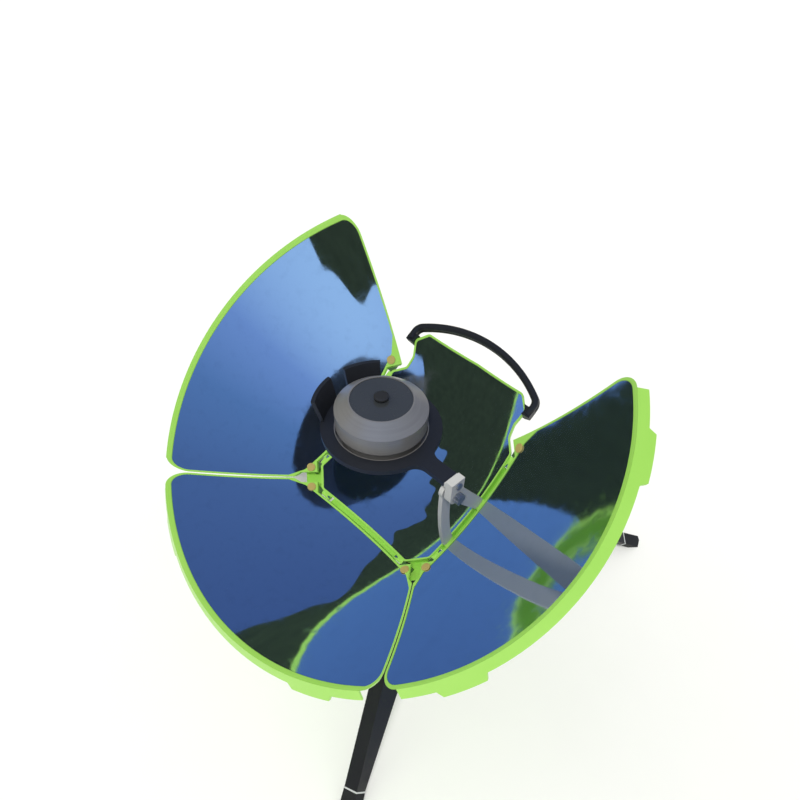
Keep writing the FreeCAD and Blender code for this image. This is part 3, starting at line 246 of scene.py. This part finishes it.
FINISHES = {
    "mirror": silvered_sheet(),
    "green_plastic": moulded("lime_tray", (0.33, 0.69, 0.09), (0.40, 0.76, 0.13), roughness=0.34,
                             grain_scale=1200.0, bump=0.10, coat=0.15),
    "dark_green_plastic": moulded("dark_green_block", (0.05, 0.12, 0.04), (0.07, 0.15, 0.05),
                                  roughness=0.5),
    "brass": metal("brass_rivet", (0.58, 0.46, 0.13), (0.68, 0.55, 0.18), roughness=0.45, metallic=0.3),
    "black_plastic": moulded("black_moulding", (0.011, 0.011, 0.011), (0.019, 0.019, 0.019),
                             roughness=0.45, grain_scale=1100.0, bump=0.2),
    "rubber": moulded("black_rubber", (0.012, 0.012, 0.012), (0.022, 0.022, 0.022), roughness=0.75,
                      grain_scale=700.0, bump=0.3),
    "grey_plastic": moulded("pale_trim", (0.50, 0.52, 0.53), (0.58, 0.60, 0.61), roughness=0.45),
    "black_paint": moulded("ring_coat", (0.012, 0.014, 0.018), (0.022, 0.024, 0.030), roughness=0.36,
                           grain_scale=1600.0, bump=0.08),
    "grey_paint": moulded("fork_coat", (0.52, 0.53, 0.52), (0.58, 0.59, 0.58), roughness=0.42,
                          grain_scale=1400.0, bump=0.1),
    "pot_steel": metal("pot_steel", (0.27, 0.265, 0.26), (0.35, 0.345, 0.34), roughness=0.24,
                       line_scale=900.0, metallic=0.5),
    "lid_steel": metal("lid_steel", (0.27, 0.265, 0.26), (0.35, 0.345, 0.34), roughness=0.28,
                       line_scale=500.0, metallic=0.5),
    "dark_enamel": moulded("lid_inset", (0.03, 0.035, 0.04), (0.05, 0.055, 0.06), roughness=0.22,
                           grain_scale=1500.0, bump=0.05, coat=0.5),
    "knob_plastic": moulded("knob_moulding", (0.02, 0.02, 0.02), (0.03, 0.03, 0.03), roughness=0.4),
    "steel": metal("plated_steel", (0.55, 0.56, 0.58), (0.66, 0.67, 0.69), roughness=0.3),
}


# The CAD nodes

def dress_nodes():
    """Give every CAD node the finish of its slot in the record."""
    slots = {part["node"]: part["material_slot"] for part in frame["record"]["subparts"]}
    for name, node in frame["nodes"].items():
        node.data.materials.clear()
        node.data.materials.append(FINISHES[slots[name]])


def smooth_nodes():
    """Shade curved faces smooth and keep real edges sharp."""
    for node in frame["nodes"].values():
        node.data.polygons.foreach_set("use_smooth", [True] * len(node.data.polygons))
        node.data.set_sharp_from_angle(angle=SHARP_EDGE)


def parabola_normal(place):
    """Normal of the dish, towards its open side, at a place in the dish's own frame."""
    return Vector((-place.x, -place.y, 2 * FOCAL_LENGTH)).normalized()


def true_mirrors():
    """Give the mirror sheets the exact normals of the parabola, so that reflections run smoothly."""
    to_dish = dish_place.inverted()
    to_world = dish_place.to_3x3()
    for name, node in frame["nodes"].items():
        if not name.endswith("_mirror"):
            continue
        mesh = node.data
        places = [to_dish @ node.matrix_world @ vertex.co for vertex in mesh.vertices]
        turn = node.matrix_world.to_3x3().inverted() @ to_world
        facing = to_dish.to_3x3() @ node.matrix_world.to_3x3()
        normals = [None] * len(mesh.loops)
        for polygon in mesh.polygons:
            lean = (facing @ polygon.normal).z
            for loop in polygon.loop_indices:
                normal = parabola_normal(places[mesh.loops[loop].vertex_index])
                if lean < 0:
                    normal = -normal
                normals[loop] = turn @ normal if abs(lean) > CUT_EDGE_LEAN else polygon.normal.copy()
        mesh.normals_split_custom_set(normals)


# The stage

def new_object(name, data):
    placed = bpy.data.objects.new(name, data)
    bpy.context.collection.objects.link(placed)
    return placed


def new_sheet(name, points, faces, material):
    data = bpy.data.meshes.new(name)
    data.from_pydata(points, [], faces)
    data.materials.append(material)
    return new_object(name, data)


def make_camera():
    data = bpy.data.cameras.new("camera")
    data.lens = CAMERA_LENS
    data.sensor_width = CAMERA_SENSOR
    data.shift_x, data.shift_y = CAMERA_SHIFT
    camera = new_object("camera", data)
    back = -CAMERA_FORWARD.normalized()
    right = CAMERA_RIGHT.normalized()
    turn = Matrix((right, back.cross(right), back)).transposed().to_4x4()
    camera.matrix_world = Matrix.Translation(dish_place.translation + CAMERA_FROM_VERTEX) @ turn
    bpy.context.scene.camera = camera


def make_floor():
    """Pale floor that keeps the shadow, with a faint glow that only the camera and mirrors see."""
    paint = moulded("pale_floor", (0.85, 0.85, 0.85), (0.87, 0.87, 0.87), roughness=0.8,
                    grain_scale=40.0, bump=0.02)
    tree = paint.node_tree
    shader = find_node(tree, "BSDF_PRINCIPLED").inputs
    feed(tree, shader["Specular IOR Level"], 0.0)
    feed(tree, shader["Emission Strength"], FLOOR_GLOW)
    feed(tree, shader["Emission Color"], blend_colours(tree, seen_directly(tree), (0, 0, 0), (1, 1, 1)))
    corners = [(x * FLOOR_REACH, y * FLOOR_REACH, 0) for x, y in ((-1, -1), (1, -1), (1, 1), (-1, 1))]
    floor = new_sheet("floor", corners, [(0, 1, 2, 3)], paint)


def make_sky():
    """Blue sky, brighter towards one side, for what is seen, and a neutral fill for what it lights."""
    world = bpy.data.worlds.new("open_sky")
    bpy.context.scene.world = world
    world.use_nodes = True
    tree = world.node_tree
    place = add_node(tree, "ShaderNodeTexCoord", {}).outputs["Generated"]
    toward = add_node(tree, "ShaderNodeVectorMath", {0: place, 1: BRIGHT_SIDE}, operation="DOT_PRODUCT")
    share = add_node(tree, "ShaderNodeMapRange", {"Value": toward.outputs["Value"], "From Min": -1.0})
    ramp = add_node(tree, "ShaderNodeValToRGB", {"Fac": share.outputs["Result"]})
    stops = ramp.color_ramp.elements
    stops[0].color = (*DARK_SKY, 1)
    stops[1].color = (*BRIGHT_SKY, 1)
    for position, colour in SKY_BETWEEN.items():
        stops.new(position).color = (*colour, 1)
    light = add_node(tree, "ShaderNodeMix", {"Factor": seen_directly(tree), "A": (*NEUTRAL_FILL, 1),
                                             "B": ramp.outputs["Color"]}, data_type="RGBA")
    feed(tree, find_node(tree, "BACKGROUND").inputs["Color"], light.outputs["Result"])


def make_sun(name, toward, strength, spread):
    """Soft lamp that shines along a direction, out of the mirrors' sight."""
    data = bpy.data.lights.new(name, "SUN")
    data.energy = strength
    data.color = SUNLIGHT
    data.angle = math.radians(spread)
    lamp = new_object(name, data)
    lamp.rotation_mode = "QUATERNION"
    lamp.rotation_quaternion = Vector(toward).to_track_quat("-Z", "Y")
    lamp.visible_glossy = False


def make_lights():
    make_sun("key_sun", toward=(-0.30, 0.42, -0.85), strength=1.7, spread=15)
    make_sun("fill_sun", toward=(0.55, 0.35, -0.75), strength=0.5, spread=60)


def treeline_top(degrees):
    """Height of the painted treeline reflection at a bearing: a wavy edge with one tall peak, higher
    towards -X.
    """
    turn = math.radians(degrees)
    waves = sum(share * math.sin(count * turn + phase) for share, count, phase in EDGE_WAVES)
    left = max(0.0, -math.sin(turn))
    peak = PEAK_RISE * math.exp(-((degrees - PEAK_AT) / PEAK_SPREAD) ** 2)
    rise = math.radians(TREELINE_RISE + LEFT_RISE * left + peak + WAVE_RISE * waves)
    return TREELINE_LEVEL + TREELINE_REACH * math.tan(rise)


def make_treeline_reflection():
    """Painted reflection: a dark green sheet out of the camera's sight, which casts no shadow and which
    diffuse light does not see, and which paints a wavy dark treeline into the mirrors.
    """
    points = []
    for step in range(TREELINE_STEPS + 1):
        degrees = TREELINE_FROM + (TREELINE_TO - TREELINE_FROM) * step / TREELINE_STEPS
        turn = math.radians(degrees)
        place = (TREELINE_REACH * math.sin(turn), TREELINE_REACH * math.cos(turn))
        points += [(*place, TREELINE_FOOT), (*place, treeline_top(degrees))]
    faces = [(foot, foot + 2, foot + 3, foot + 1) for foot in range(0, 2 * TREELINE_STEPS, 2)]
    # Dark green paint of the sheet: a painted reflection of trees in the mirrors
    reflection_paint = moulded("painted_treeline_reflection", (0.010, 0.022, 0.012), (0.030, 0.055, 0.028), roughness=0.9,
                    grain_scale=30.0, bump=0.0)
    treeline_reflection_sheet = new_sheet("treeline_reflection_sheet", points, faces, reflection_paint)
    # Seen only by mirror rays, so the sheet is only a painted reflection
    treeline_reflection_sheet.visible_camera = False
    treeline_reflection_sheet.visible_shadow = False
    treeline_reflection_sheet.visible_diffuse = False


dress_nodes()
smooth_nodes()
true_mirrors()
make_camera()
make_floor()
make_sky()
make_lights()
make_treeline_reflection()
bpy.context.scene.view_settings.view_transform = "Standard"
